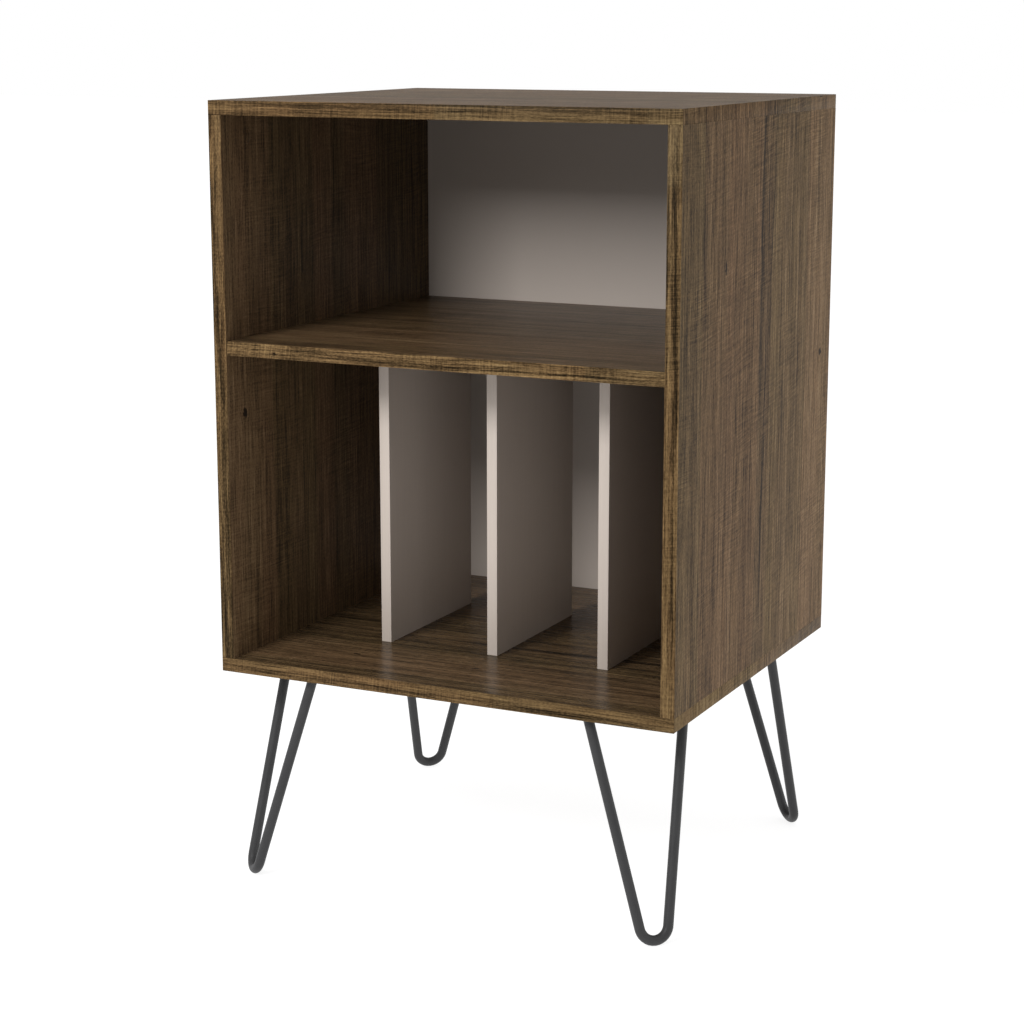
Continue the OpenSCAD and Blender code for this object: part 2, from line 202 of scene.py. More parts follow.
def makeCamera():
    camera = bpy.data.cameras.new("camera")
    camera.lens = studio["lens"]
    camera.sensor_width = 36.0
    holder = bpy.data.objects.new("camera", camera)
    holder.location = studio["cameraPlace"]
    rise = math.radians(90.0 - studio["cameraTilt"])
    holder.rotation_euler = (rise, 0.0, math.radians(studio["cameraTurn"]))
    bpy.context.scene.collection.objects.link(holder)
    bpy.context.scene.camera = holder


def makeAir():
    world = bpy.data.worlds.new("studioAir")
    world.use_nodes = True
    bpy.context.scene.world = world
    net = Net(world.node_tree)
    seen = net.add("ShaderNodeLightPath", {}, {}, "Is Camera Ray")
    strength = studio["air"] + seen * (studio["backdrop"] - studio["air"])
    air = net.add("ShaderNodeBackground", {}, {"Color": rgba(1.0), "Strength": strength})
    net.add("ShaderNodeOutputWorld", {}, {"Surface": air})


def makeLight(name, start, goal, size, power):
    light = bpy.data.lights.new(name, "AREA")
    light.size = size
    light.energy = power
    lamp = bpy.data.objects.new(name, light)
    lamp.location = start
    lamp.rotation_euler = (Vector(start) - Vector(goal)).to_track_quat("Z", "Y").to_euler()
    lamp.visible_camera = False
    bpy.context.scene.collection.objects.link(lamp)


def makeFloor():
    half = studio["floorHalf"]
    mesh = bpy.data.meshes.new("studioFloor")
    points = [(-half, -half, 0), (half, -half, 0), (half, half, 0), (-half, half, 0)]
    mesh.from_pydata(points, [], [(0, 1, 2, 3)])
    material, net = startMaterial("paleFloor")
    place = net.objectPlace()
    mottle = net.noise(place, 3.0)
    grey = studio["floorColour"]
    colour = net.ramp(mottle, [(0.3, grey * studio["floorMottle"]), (0.7, grey)])
    far = net.add("ShaderNodeVectorMath", {"operation": "LENGTH"}, {0: place}, "Value")
    bounce = net.ramp(far * studio["floorFade"], studio["floorBounce"])
    scattered = net.add("ShaderNodeLightPath", {}, {}, "Is Diffuse Ray")
    seen = net.add("ShaderNodeLightPath", {}, {}, "Is Camera Ray")
    direct = net.blend(seen, rgba(studio["floorSheen"]), rgba(studio["floorGlow"]))
    glow = net.blend(scattered, direct, bounce)
    lit = {"Emission_Color": glow, "Emission_Strength": 1.0}
    endMaterial(net, colour, studio["floorRoughness"], mottle, 0.1 * millimetre, **lit)
    mesh.materials.append(material)
    floor = bpy.data.objects.new("studioFloor", mesh)
    bpy.context.scene.collection.objects.link(floor)


bpy.context.scene.view_settings.view_transform = "Standard"
makeCamera()
makeAir()
for lightName, facts in studio["lights"].items():
    makeLight(lightName, *facts)
makeFloor()
print("studio ready")


# Mesh helpers

def addPiece(name, mesh, finish, slot, *replaced):
    piece = bpy.data.objects.new(name, mesh)
    if not mesh.materials:
        mesh.materials.append(finish)
    bpy.context.scene.collection.objects.link(piece)
    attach(piece, body)
    if replaced:
        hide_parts(*replaced)
    return piece


def toMesh(shape, name, sharpAngle=30.0):  # a bmesh as a mesh, smooth but for its sharp edges
    bmesh.ops.recalc_face_normals(shape, faces=shape.faces)
    for face in shape.faces:
        face.smooth = True
    for edge in shape.edges:
        edge.smooth = len(edge.link_faces) == 2 and edge.calc_face_angle() < math.radians(sharpAngle)
    mesh = bpy.data.meshes.new(name)
    shape.to_mesh(mesh)
    shape.free()
    return mesh


def easeEdges(shape, edges, ease, steps):
    bmesh.ops.bevel(shape, geom=edges, offset=ease, segments=steps, profile=0.5, affect="EDGES")


def solidsOf(node):  # lowest and highest corner of each solid in a node
    shape = bmesh.new()
    shape.from_mesh(nodes[node].data)
    bmesh.ops.remove_doubles(shape, verts=shape.verts, dist=0.001 * millimetre)
    left = set(shape.verts)
    boxes = []
    while left:
        front = [left.pop()]
        group = []
        while front:
            vertex = front.pop()
            group.append(vertex.co.copy())
            for edge in vertex.link_edges:
                other = edge.other_vert(vertex)
                if other in left:
                    left.remove(other)
                    front.append(other)
        low = Vector([min(point[i] for point in group) for i in range(3)])
        high = Vector([max(point[i] for point in group) for i in range(3)])
        boxes.append((low, high))
    shape.free()
    return sorted(boxes, key=lambda box: tuple(box[0]))


# Walnut laminate

walnutBoard = {  # scales are per metre, across the grain and along it
    "scale": [
        (0.00, (0.012, 0.008, 0.005)),
        (0.25, (0.047, 0.029, 0.015)),
        (0.50, (0.112, 0.069, 0.034)),
        (0.75, (0.180, 0.114, 0.058)),
        (1.00, (0.270, 0.182, 0.100)),
    ],
    "tints": [(0.0, (0.90, 0.96, 0.88)), (0.5, (0.94, 0.94, 0.94)), (1.0, (0.99, 0.92, 0.94))],
    "tintScale": (26.0, 2.0),
    "tint": 0.9,
    "sway": 9 * millimetre,
    "swayScale": (3.2, 1.3),
    "ripple": 2.5 * millimetre,
    "rippleScale": (24.0, 9.0),
    "broad": 0.20,
    "broadScale": (9.0, 0.5),
    "streak": 0.38,
    "streakScale": (110.0, 1.6),
    "thread": 0.76,
    "threadScale": (560.0, 4.0),
    "fine": 1.0,
    "fineScale": (1150.0, 22.0),
    "pore": 0.55,
    "poreScale": (900.0, 300.0),
    "wisp": 0.16,
    "wispScale": (90.0, 5.0),
    "wispEdge": (0.58, 0.72),
    "saw": 0.84,  # marks of the saw, which run across the grain in patches
    "sawScale": (28.0, 620.0),
    "sawSlant": 0.07,
    "sawSway": 0.05,
    "sawPatch": (11.0, 8.0),
    "sawPatchEdge": (0.35, 0.70),
    "sawFaintest": 0.2,
    "roughness": 0.40,
    "streakGloss": 0.15,
    "fineGloss": 0.1,
    "specular": 0.015,
    "threadHeight": 0.35,
    "fineHeight": 0.4,
    "sawHeight": 1.2,
    "relief": 0.12 * millimetre,
    "reliefStrength": 0.6,
    "lift": 0.0,
    "faceShift": 200.0,  # gives the two faces of a board different prints
    "skin": 0.3 * millimetre,  # of laminate over the chipboard core
}

walnutBand = dict(walnutBoard)
walnutBand.update({
    "scale": [
        (0.00, (0.012, 0.008, 0.004)),
        (0.25, (0.047, 0.029, 0.013)),
        (0.50, (0.114, 0.071, 0.032)),
        (0.75, (0.185, 0.120, 0.053)),
        (1.00, (0.275, 0.188, 0.092)),
    ],
    "tints": [(0.0, (0.90, 0.98, 1.06)), (0.5, (0.94, 0.94, 0.94)), (1.0, (1.0, 0.92, 0.92))],
    "tintScale": (60.0, 7.0),
    "sway": 14 * millimetre,
    "ripple": 3.5 * millimetre,
    "streak": 0.30,
    "thread": 0.62,
    "wisp": 0.20,
    "wispScale": (170.0, 5.0),
    "wispEdge": (0.47, 0.68),
    "lift": -0.01,
})

veinLook = {
    "wander": 7 * millimetre,
    "wanderScale": 17.0,
    "wanderShift": 90.0,  # sets apart the ways of two veins
    "fade": 25 * millimetre,
    "patchScale": (260.0, 22.0),
    "patchEdge": (0.25, 0.6),
    "faintest": 0.4,
}

knotLook = {
    "reach": (3.0, 1.5),  # how far the grain bends round a knot, to its half width and half length
    "bend": 1.6,
    "rim": (1.5, 0.2),
    "ragged": 2.0,
    "depth": 0.8,
}

chipboard = {
    "flakes": 420.0,
    "colours": [(0.0, (0.20, 0.13, 0.07)), (0.5, (0.42, 0.30, 0.17)), (1.0, (0.58, 0.44, 0.28))],
    "roughness": 0.4,  # more than the skin's
    "relief": 3.0,
}


def stripStops(strips, column):
    gap = 0.002  # over which one strip goes over into the next, to either side
    stops = [(0.0, 0.5 + strips[0][column])]
    for before, after in zip(strips, strips[1:]):
        stops += [(after[0] - gap, 0.5 + before[column]), (after[0] + gap, 0.5 + after[column])]
    return stops


def grain(net, across, along, face, scale, detail=2.0, roughness=0.5):  # noise drawn out along the wood
    wide, long = scale
    return net.noise(net.place(across * wide, along * long, face), detail, roughness)


def bell(value):  # 1 at 0, falling off to 0
    return (value * -1.0).calc("EXPONENT")


def veinShade(net, across, along, face, vein):  # a wandering dark line; a light one has a depth below 0
    place, lean, start, end, width, depth = vein
    wanderPlace = net.place(along * veinLook["wanderScale"], place * veinLook["wanderShift"], face)
    wander = (net.noise(wanderPlace) - 0.5) * veinLook["wander"]
    middle = (along - start) * lean + wander + place
    side = (across - middle) / (width * millimetre)
    fade = veinLook["fade"]
    reach = along.ease(start - fade, start + fade) * along.ease(end + fade, end - fade)
    patchy = grain(net, across, along, face, veinLook["patchScale"]).ease(*veinLook["patchEdge"])
    faintest = veinLook["faintest"]
    return bell(side * side) * reach * (patchy * (1.0 - faintest) + faintest) * depth


def walnutPrint(net, across, along, out, look, board):
    face = out * look["faceShift"] + board["seed"]
    flatAcross = across
    wideReach, longReach = knotLook["reach"]
    for place, height, halfWidth, halfLength in board.get("knots", []):
        side = (across - place) / (halfWidth * wideReach)
        ahead = (along - height) / (halfLength * longReach)
        across = across - side * bell(side * side + ahead * ahead) * (halfWidth * knotLook["bend"])
    sway = grain(net, across, along, face, look["swayScale"]) - 0.5
    ripple = grain(net, across, along, face, look["rippleScale"]) - 0.5
    line = across + sway * look["sway"] + ripple * look["ripple"]
    broad = grain(net, line, along, face, look["broadScale"]) - 0.5
    streak = grain(net, line, along, face, look["streakScale"], 3.0, 0.6) - 0.5
    thread = grain(net, line, along, face, look["threadScale"], 2.0, 0.6) - 0.5
    fine = grain(net, line, along, face, look["fineScale"], 1.5) - 0.5
    wisp = grain(net, line, along, face + 5.0, look["wispScale"], 3.0, 0.55).ease(*look["wispEdge"])
    pore = grain(net, line, along, face, look["poreScale"], 1.0) - 0.5
    slanted = along - flatAcross * look["sawSlant"] + sway * look["sawSway"]
    patch = grain(net, line, along, face + 3.0, look["sawPatch"]).ease(*look["sawPatchEdge"])
    mark = grain(net, flatAcross, slanted, face, look["sawScale"], 2.0, 0.7) - 0.5
    faintest = look["sawFaintest"]
    saw = mark * (patch * (1.0 - faintest) + faintest)
    lines = broad * look["broad"] + streak * look["streak"] + thread * look["thread"] + fine * look["fine"]
    lines = lines + pore * look["pore"] - wisp * look["wisp"]
    tone = lines * board.get("gain", 1.0) + saw * board.get("saw", look["saw"]) + (0.5 + look["lift"])
    tint = 0.5 + (grain(net, line, along, face + 9.0, look["tintScale"]) - 0.5) * look["tint"]
    for strips, value in (("strips", line), ("joints", along)):
        if strips in board:
            low, high = board[strips + "Span"]
            share = (value - low) / (high - low)
            tone = tone + (net.ramp(share, stripStops(board[strips], 1)) - 0.5)
            tint = tint + (net.ramp(share, stripStops(board[strips], 2)) - 0.5)
    for vein in board.get("veinsAndPaintedLight", []):
        tone = tone - veinShade(net, line, along, face, vein)
    for place, height, halfWidth, halfLength in board.get("knots", []):
        side = (flatAcross - place) / halfWidth
        ahead = (along - height) / halfLength
        ragged = side * side + ahead * ahead + pore * knotLook["ragged"]
        tone = tone - ragged.ease(*knotLook["rim"]) * knotLook["depth"]
    colour = net.blend(1.0, net.ramp(tone, look["scale"]), net.ramp(tint, look["tints"]), "MULTIPLY")
    height = thread * look["threadHeight"] + fine * look["fineHeight"] + saw * look["sawHeight"]
    roughness = board.get("roughness", look["roughness"])
    roughness = roughness - streak * look["streakGloss"] - fine * look["fineGloss"]
    return colour, roughness, height


def makeWalnut(name, board, look, core=None):
    across, along, out = board["axes"]
    material, net = startMaterial(name)
    place = net.objectPlace()
    axes = dict(zip("xyz", net.parts(place)))
    colour, roughness, height = walnutPrint(net, axes[across], axes[along], axes[out], look, board)
    if core:  # cut edges and bores show the chipboard core
        low, high = (corner["xyz".index(out)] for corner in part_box(core))
        inside = axes[out].over(low + look["skin"]) * (1.0 - axes[out].over(high - look["skin"]))
        spread = {"Vector": place, "Scale": chipboard["flakes"]}
        flake = net.parts(net.add("ShaderNodeTexVoronoi", {}, spread, "Color"))[0]
        colour = net.blend(inside, colour, net.ramp(flake, chipboard["colours"]))
        roughness = roughness + inside * chipboard["roughness"]
        height = height + inside * flake * chipboard["relief"]
    gloss = {"Specular_IOR_Level": board.get("specular", look["specular"])}
    endMaterial(net, colour, roughness, height, look["relief"], look["reliefStrength"], **gloss)
    return material


def dress(finish, *names):
    for name in names:
        for slot in nodes[name].material_slots:
            slot.material = finish


# Axes are the ones across the grain, along it and out of the face. Gain and saw say how strongly the lines
# and the saw marks show. Strips start at a share of the width and shift tone and tint. Veins have place,
# lean, start, end, half width in millimetres and depth. Knots have place, height, half width, half length.
boards = {
    "right_side_panel": {
        "axes": "yzx", "seed": 3.1, "gain": 1.15,
        "strips": [(0.0, -0.04, -0.30), (0.135, -0.06, 0.25), (0.489, -0.15, 0.0), (0.565, -0.06, -0.2),
                   (0.812, 0.05, 0.1)],
        "veinsAndPaintedLight": [
            # the first two, wide and light, are painted light: they brighten the lower part of this side,
            # where light from the floor would fall
            (-0.080, 0.0, 0.20, 0.36, 45.0, -0.12), (0.080, 0.0, 0.20, 0.34, 60.0, -0.06),
            (-0.002, 0.0, 0.52, 0.90, 3.2, 0.34), (0.022, 0.06, 0.60, 0.90, 2.0, 0.30),
            (0.008, 0.02, 0.30, 0.60, 2.4, 0.28), (0.072, 0.0, 0.68, 0.76, 1.8, 0.20),
            (0.116, 0.0, 0.50, 0.70, 1.8, 0.18), (-0.137, -0.23, 0.69, 0.82, 1.6, 0.20),
            (-0.160, 0.0, 0.53, 0.66, 4.0, 0.12), (0.1435, 0.0, 0.20, 0.52, 1.0, -0.16),
            (-0.168, 0.0, 0.20, 0.72, 0.8, -0.10),
        ],
        "knots": [(-0.1076, 0.6824, 0.0020, 0.0080), (0.194, 0.560, 0.0045, 0.0042)],
    },
    "left_side_panel": {
        "axes": "yzx", "seed": 5.4, "specular": 0.12, "gain": 1.15,
        "strips": [(0.0, 0.03, 0.15), (0.20, -0.04, -0.2), (0.40, 0.0, 0.25), (0.49, -0.06, -0.1),
                   (0.55, 0.0, 0.2), (0.72, -0.04, -0.25)],
        "veinsAndPaintedLight": [(-0.003, 0.0, 0.30, 0.80, 2.2, 0.28), (-0.118, 0.03, 0.26, 0.50, 2.0, 0.16)],
        "knots": [(-0.196, 0.512, 0.0040, 0.0055)],
    },
    "top_panel": {
        "axes": "yxz", "seed": 1.7, "specular": 0.011, "gain": 1.6, "saw": 0.52,
        "strips": [(0.0, 0.0, 0.1), (0.36, -0.06, -0.2), (0.60, 0.02, 0.1)],
        "veinsAndPaintedLight": [(-0.11, 0.02, -0.20, 0.10, 2.0, 0.2), (0.05, -0.03, -0.10, 0.24, 2.4, 0.25)],
        "knots": [(0.150, -0.09, 0.003, 0.006)],
    },
    "shelf_panel": {
        "axes": "yxz", "seed": 8.2, "specular": 0.07, "roughness": 0.32, "gain": 1.45, "saw": 0.60,
        "strips": [(0.0, -0.10, -0.1), (0.09, -0.02, 0.1), (0.37, -0.09, -0.1), (0.52, -0.05, 0.0)],
        "veinsAndPaintedLight": [(0.006, 0.0, -0.25, 0.15, 2.4, 0.18), (-0.205, 0.01, -0.25, -0.08, 2.4, 0.25)],
        "knots": [(-0.147, 0.013, 0.0016, 0.004)],
    },
    "bottom_panel": {
        "axes": "yxz", "seed": 2.9, "specular": 0.10, "roughness": 0.27, "gain": 1.25, "saw": 0.68,
        "strips": [(0.0, -0.09, -0.15), (0.06, 0.01, 0.1), (0.26, -0.12, -0.15), (0.62, -0.05, 0.1)],
        "veinsAndPaintedLight": [
            (-0.212, 0.03, -0.22, -0.02, 3.0, 0.30), (-0.100, 0.0, -0.25, 0.10, 2.4, 0.22),
            (-0.060, 0.02, -0.05, 0.24, 3.0, 0.28), (-0.020, -0.02, -0.24, 0.10, 2.4, 0.25),
            (0.050, 0.0, -0.10, 0.24, 3.0, 0.25),
        ],
        "knots": [(-0.155, -0.138, 0.0018, 0.0045), (-0.152, 0.005, 0.0014, 0.006)],
    },
}

for boardName, board in boards.items():
    side = "xyz".index(board["axes"][0])
    board["stripsSpan"] = [corner[side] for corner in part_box(boardName)]
    finish = makeWalnut("walnut_" + boardName, board, walnutBoard, boardName)
    dress(finish, boardName)
print("boards dressed")


cover = {
    "facets": 48,
    "ease": 0.15 * millimetre,
    "steps": 2,
}


def coverMesh(name, low, high):  # a flat disc standing on its edge, its axis along X
    shape = bmesh.new()
    turn = Matrix.Rotation(math.pi / 2, 4, "Y")
    move = Matrix.Translation((low + high) / 2)
    radius = (high.z - low.z) / 2
    bmesh.ops.create_cone(
        shape, cap_ends=True, segments=cover["facets"], radius1=radius, radius2=radius,
        depth=high.x - low.x, matrix=move @ turn)
    rims = [edge for edge in shape.edges if any(len(face.verts) > 4 for face in edge.link_faces)]
    easeEdges(shape, rims, cover["ease"], cover["steps"])
    return toMesh(shape, name, 40.0)


def makeCovers():  # each has the print of the side that it lies in
    for count, (low, high) in enumerate(solidsOf("top_cam_covers"), 1):
        board = "left_side_panel" if low.x < 0 else "right_side_panel"
        finish = makeWalnut("walnut_cover_%d" % count, boards[board], walnutBoard)
        name = "cam_cover_%d" % count
        addPiece(name, coverMesh(name, low, high), finish, "cover_film", "top_cam_covers")


makeCovers()
print("cam covers laid")


# Edge bands

band = {
    "ease": 0.35 * millimetre,
    "steps": 3,
}


def bandMesh(name, low, high, outward):  # a strip with the edges of its outer face eased
    shape = bmesh.new()
    bmesh.ops.create_cube(shape, size=1.0)
    middle = (low + high) / 2
    size = high - low
    bmesh.ops.transform(shape, matrix=Matrix.LocRotScale(middle, None, size), verts=shape.verts)
    shape.normal_update()
    outer = [face for face in shape.faces if face.normal.dot(outward) > 0.9]
    edges = list({edge for face in outer for edge in face.edges})
    easeEdges(shape, edges, band["ease"], band["steps"])
    return toMesh(shape, name, 60.0)


bandPrints = {  # joints are where the tone and tint change along the band, as shares of its length
    "top_front_band": {
        "axes": "zxy", "seed": 0.6, "gain": 0.78,
        "joints": [(0.0, -0.02, 0.1), (0.05, -0.06, 0.1), (0.5, -0.03, -0.25), (0.93, 0.08, -0.45)],
        "veinsAndPaintedLight": [(0.8385, 0.0, -0.21, -0.09, 2.0, 0.18), (0.8375, -0.006, -0.10, 0.085, 1.5, 0.24),
                  (0.8400, 0.0, 0.225, 0.30, 2.2, 0.20)],
    },
    "bottom_front_band": {
        "axes": "zxy", "seed": 4.2,
        "joints": [(0.0, 0.0, 0.1), (0.62, -0.03, -0.1)],
        "veinsAndPaintedLight": [(0.2385, 0.0, -0.10, 0.24, 1.6, 0.25)],
    },
    "shelf_front_band": {
        "axes": "zxy", "seed": 7.5, "gain": 1.12,
        "joints": [(0.0, 0.0, 0.1), (0.83, -0.05, -0.2)],
        "veinsAndPaintedLight": [(0.5845, -0.006, -0.21, 0.20, 1.1, 0.28), (0.5805, 0.0, -0.06, 0.24, 1.0, 0.22)],
        "knots": [(0.5835, -0.190, 0.0011, 0.0018)],
    },
    "left_side_band": {
        "axes": "xzy", "seed": 9.3, "gain": 1.15,
        "joints": [(0.0, -0.10, -0.1), (0.55, -0.11, 0.1)],
        "veinsAndPaintedLight": [(-0.2595, 0.0, 0.60, 0.75, 1.8, 0.22), (-0.2555, 0.0, 0.32, 0.50, 1.6, 0.20)],
    },
    "right_side_band": {
        "axes": "xzy", "seed": 6.6,
        "joints": [(0.0, 0.02, 0.1), (0.60, -0.03, -0.1), (0.90, 0.0, -0.4)],
        "veinsAndPaintedLight": [(0.2580, 0.0, 0.52, 0.79, 2.6, 0.28), (0.2560, 0.004, 0.30, 0.52, 1.6, 0.18)],
    },
}

endBands = {  # these have the grain of the side that they continue, with strips and veins of their own
    "top_right_band": {
        "board": "right_side_panel", "outward": (1, 0, 0), "seed": 3.8,
        "strips": [(0.0, -0.05, -0.1), (0.135, -0.05, 0.2), (0.489, -0.15, 0.0), (0.565, -0.09, -0.2),
                   (0.812, 0.0, 0.1)],
        "veinsAndPaintedLight": [(0.010, 0.0, 0.80, 0.90, 2.6, 0.22), (0.034, 0.0, 0.80, 0.90, 1.6, 0.24)],
        "knots": [(0.175, 0.842, 0.0045, 0.0012)],
    },
    "bottom_right_band": {
        "board": "right_side_panel", "outward": (1, 0, 0), "seed": 2.2,
        "strips": [(0.0, 0.15, -0.35), (0.28, 0.05, -0.35), (0.50, -0.01, -0.1), (0.80, -0.07, -0.1)],
        "veinsAndPaintedLight": [],
    },
    "top_left_band": {"board": "left_side_panel", "outward": (-1, 0, 0), "seed": 5.9, "veinsAndPaintedLight": []},
    "bottom_left_band": {"board": "left_side_panel", "outward": (-1, 0, 0), "seed": 4.7, "veinsAndPaintedLight": []},
}


def addBand(name, outward, finish):
    low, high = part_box(name)
    addPiece(name + "_strip", bandMesh(name, low, high, Vector(outward)), finish, "walnut_band", name)


for bandName, board in bandPrints.items():
    length = "xyz".index(board["axes"][1])
    board["jointsSpan"] = [corner[length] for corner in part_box(bandName)]
    addBand(bandName, (0, -1, 0), makeWalnut("walnut_" + bandName, board, walnutBand))
for bandName, changes in endBands.items():
    board = dict(boards[changes["board"]])
    board.update(changes)
    addBand(bandName, changes["outward"], makeWalnut("walnut_" + bandName, board, walnutBoard))
print("edge bands made")


# Painted dividers and back

paint = {
    "colour": (0.475, 0.412, 0.362),
    "shade": 0.93,  # its darker strokes
    "brushScale": (900.0, 900.0, 9.0),
    "cloudScale": (14.0, 14.0, 6.0),
    "gritScale": (2600.0,) * 3,
    "roughness": 0.5,
    "cloudGloss": 0.12,
    "relief": 0.05 * millimetre,
}


def makePaint():
    material, net = startMaterial("taupePaint")
    place = net.objectPlace()
    brushed = net.speckle(place, paint["brushScale"], 3.0, 0.6)
    cloud = net.speckle(place, paint["cloudScale"])
    grit = net.speckle(place, paint["gritScale"], 1.0)
    tone = brushed * 0.7 + cloud * 0.3
    colour = net.ramp(tone, [(0.35, shaded(paint["colour"], paint["shade"])), (0.65, paint["colour"])])
    roughness = paint["roughness"] + (cloud - 0.5) * paint["cloudGloss"]
    endMaterial(net, colour, roughness, brushed * 0.6 + grit * 0.4, paint["relief"], 0.5)
    return material


taupe = makePaint()
dividers = ("divider_left", "divider_center", "divider_right")
dress(taupe, *dividers)
for divider in dividers:
    low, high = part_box(divider + "_band")
    addPiece(divider + "_edge", bandMesh(divider, low, high, Vector((0, -1, 0))), taupe, "taupe_paint",
             divider + "_band")

hardboard = {
    "inside": (0.405, 0.351, 0.309),
    "shade": 0.97,  # the inside's darker clouds
    "outside": (0.20, 0.115, 0.055),
    "pale": (0.30, 0.185, 0.10),
    "fibreScale": (160.0,) * 3,
    "cloudScale": (5.0,) * 3,
    "screenPitch": 1.6 * millimetre,
    "skin": 0.2 * millimetre,  # depth of the inside's paint
    "roughness": 0.75,
    "paintGloss": 0.25,
    "relief": 0.15 * millimetre,
}


def makeBack():
    material, net = startMaterial("hardboardBack")
    place = net.objectPlace()
    x, y, z = net.parts(place)
    painted = 1.0 - y.over(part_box("back_panel")[0].y + hardboard["skin"])
    fibre = net.speckle(place, hardboard["fibreScale"], 6.0, 0.7)
    cloud = net.speckle(place, hardboard["cloudScale"], 3.0)
    brown = net.ramp(fibre * 0.6 + cloud * 0.4, [(0.35, hardboard["outside"]), (0.65, hardboard["pale"])])
    dark = shaded(hardboard["inside"], hardboard["shade"])
    inside = net.ramp(cloud, [(0.3, dark), (0.7, hardboard["inside"])])
    turn = 2 * math.pi / hardboard["screenPitch"]
    screen = (x * turn).calc("SINE") * (z * turn).calc("SINE") * 0.5 + 0.5
    height = (1.0 - painted) * (screen * 0.7 + fibre * 0.6) + painted * fibre * 0.15
    roughness = hardboard["roughness"] - painted * hardboard["paintGloss"]
    endMaterial(net, net.blend(painted, brown, inside), roughness, height, hardboard["relief"], 0.6)
    return material


dress(makeBack(), "back_panel")
print("dividers and back painted")


# Metal finishes

powderCoat = {
    "colours": [(0.35, (0.025, 0.025, 0.026)), (0.65, (0.042, 0.042, 0.043))],
    "peelScale": (1500.0,) * 3,
    "cloudScale": (30.0,) * 3,
    "roughness": 0.5,
    "cloudGloss": 0.2,
    "specular": 0.2,
    "relief": 0.1 * millimetre,
}

zincCoat = {
    "colours": [(0.3, (0.33, 0.34, 0.36)), (0.7, (0.52, 0.53, 0.56))],
    "spotScale": (700.0,) * 3,
    "roughness": 0.34,
    "spotGloss": 0.2,
    "relief": 0.03 * millimetre,
}

beech = {
    "colours": [(0.3, (0.50, 0.33, 0.17)), (0.7, (0.66, 0.47, 0.27))],
    "grainScale": (900.0, 900.0, 60.0),
    "roughness": 0.65,
    "relief": 0.08 * millimetre,
}


def makePowderCoat():
    material, net = startMaterial("charcoalPowder")
    place = net.objectPlace()
    peel = net.speckle(place, powderCoat["peelScale"])
    cloud = net.speckle(place, powderCoat["cloudScale"], 3.0)
    colour = net.ramp(peel * 0.7 + cloud * 0.3, powderCoat["colours"])
    roughness = powderCoat["roughness"] + (cloud - 0.5) * powderCoat["cloudGloss"]
    gloss = {"Specular_IOR_Level": powderCoat["specular"]}
    endMaterial(net, colour, roughness, peel, powderCoat["relief"], 0.8, **gloss)
    return material


def makeZinc():
    material, net = startMaterial("zincSteel")
    spot = net.speckle(net.objectPlace(), zincCoat["spotScale"], 3.0)
    colour = net.ramp(spot, zincCoat["colours"])
    roughness = zincCoat["roughness"] + spot * zincCoat["spotGloss"]
    endMaterial(net, colour, roughness, spot, zincCoat["relief"], 0.5, Metallic=1.0)
    return material


def makeBeech():
    material, net = startMaterial("beech")
    fibre = net.speckle(net.objectPlace(), beech["grainScale"], 3.0)
    colour = net.ramp(fibre, beech["colours"])
    endMaterial(net, colour, beech["roughness"], fibre, beech["relief"], 0.5)
    return material


powder = makePowderCoat()
zinc = makeZinc()
dress(zinc, "top_cam_bolts", "top_cam_locks", "shelf_cam_bolts", "shelf_cam_locks")
dress(makeBeech(), "top_dowels", "shelf_dowels", "bottom_dowels", "divider_dowels")
print("metals and beech ready")


# Geometry trees

def startTree(name, inputs):
    tree = bpy.data.node_groups.new(name, "GeometryNodeTree")
    tree.interface.new_socket("Geometry", in_out="OUTPUT", socket_type="NodeSocketGeometry")
    tree.interface.new_socket("Geometry", in_out="INPUT", socket_type="NodeSocketGeometry")
    for label, kind in inputs.items():
        tree.interface.new_socket(label, in_out="INPUT", socket_type="NodeSocket" + kind)
    net = Net(tree)
    entry = tree.nodes.new("NodeGroupInput")
    return net, {output.name: Wire(net, output) for output in entry.outputs if output.name}


def endTree(net, geometry, finish):
    solid = net.add("GeometryNodeRealizeInstances", {}, {"Geometry": geometry})
    painted = net.add("GeometryNodeSetMaterial", {}, {"Geometry": solid, "Material": finish})
    net.add("NodeGroupOutput", {}, {"Geometry": painted})
    return net.tree


def grow(name, tree, carrier, inputs):  # a tree's result on a carrier mesh, as a plain mesh
    holder = bpy.data.objects.new(name, carrier)
    bpy.context.scene.collection.objects.link(holder)
    modifier = holder.modifiers.new("rule", "NODES")
    modifier.node_group = tree
    for item in tree.interface.items_tree:
        if item.in_out == "INPUT" and item.name in inputs:
            modifier[item.identifier] = inputs[item.name]
    bpy.context.view_layer.update()
    graph = bpy.context.evaluated_depsgraph_get()
    mesh = bpy.data.meshes.new_from_object(holder.evaluated_get(graph), depsgraph=graph)
    holder.modifiers.clear()
    bpy.data.objects.remove(holder)
    mesh.name = name
    return mesh


# Hairpin legs

leg = {
    "rodDiameter": 10.8 * millimetre,
    "bendRadius": 16 * millimetre,
    "bendSteps": 40,
    "spread": 106.5 * millimetre,
    "splay": math.radians(14.25),
    "step": 3 * millimetre,  # between the rings of a rod
    "facets": 28,
    "sunk": 0.5 * millimetre,  # how far the rod ends stand in their plate
}

plate = {
    "reach": 48 * millimetre,
    "long": 112 * millimetre,
    "tip": 26 * millimetre,
    "corner": 5 * millimetre,
    "cornerSteps": 8,
    "ease": 0.4 * millimetre,
    "steps": 2,
}

weld = {
    "size": 1.9 * millimetre,
    "facets": 12,
    "steps": 72,
    "waves": 23,
    "wave": 0.16,
    "roughness": 0.45 * millimetre,
    "lumpScale": 420.0,
}

corners = {"front_left": (-1, -1), "front_right": (1, -1), "rear_left": (-1, 1), "rear_right": (1, 1)}


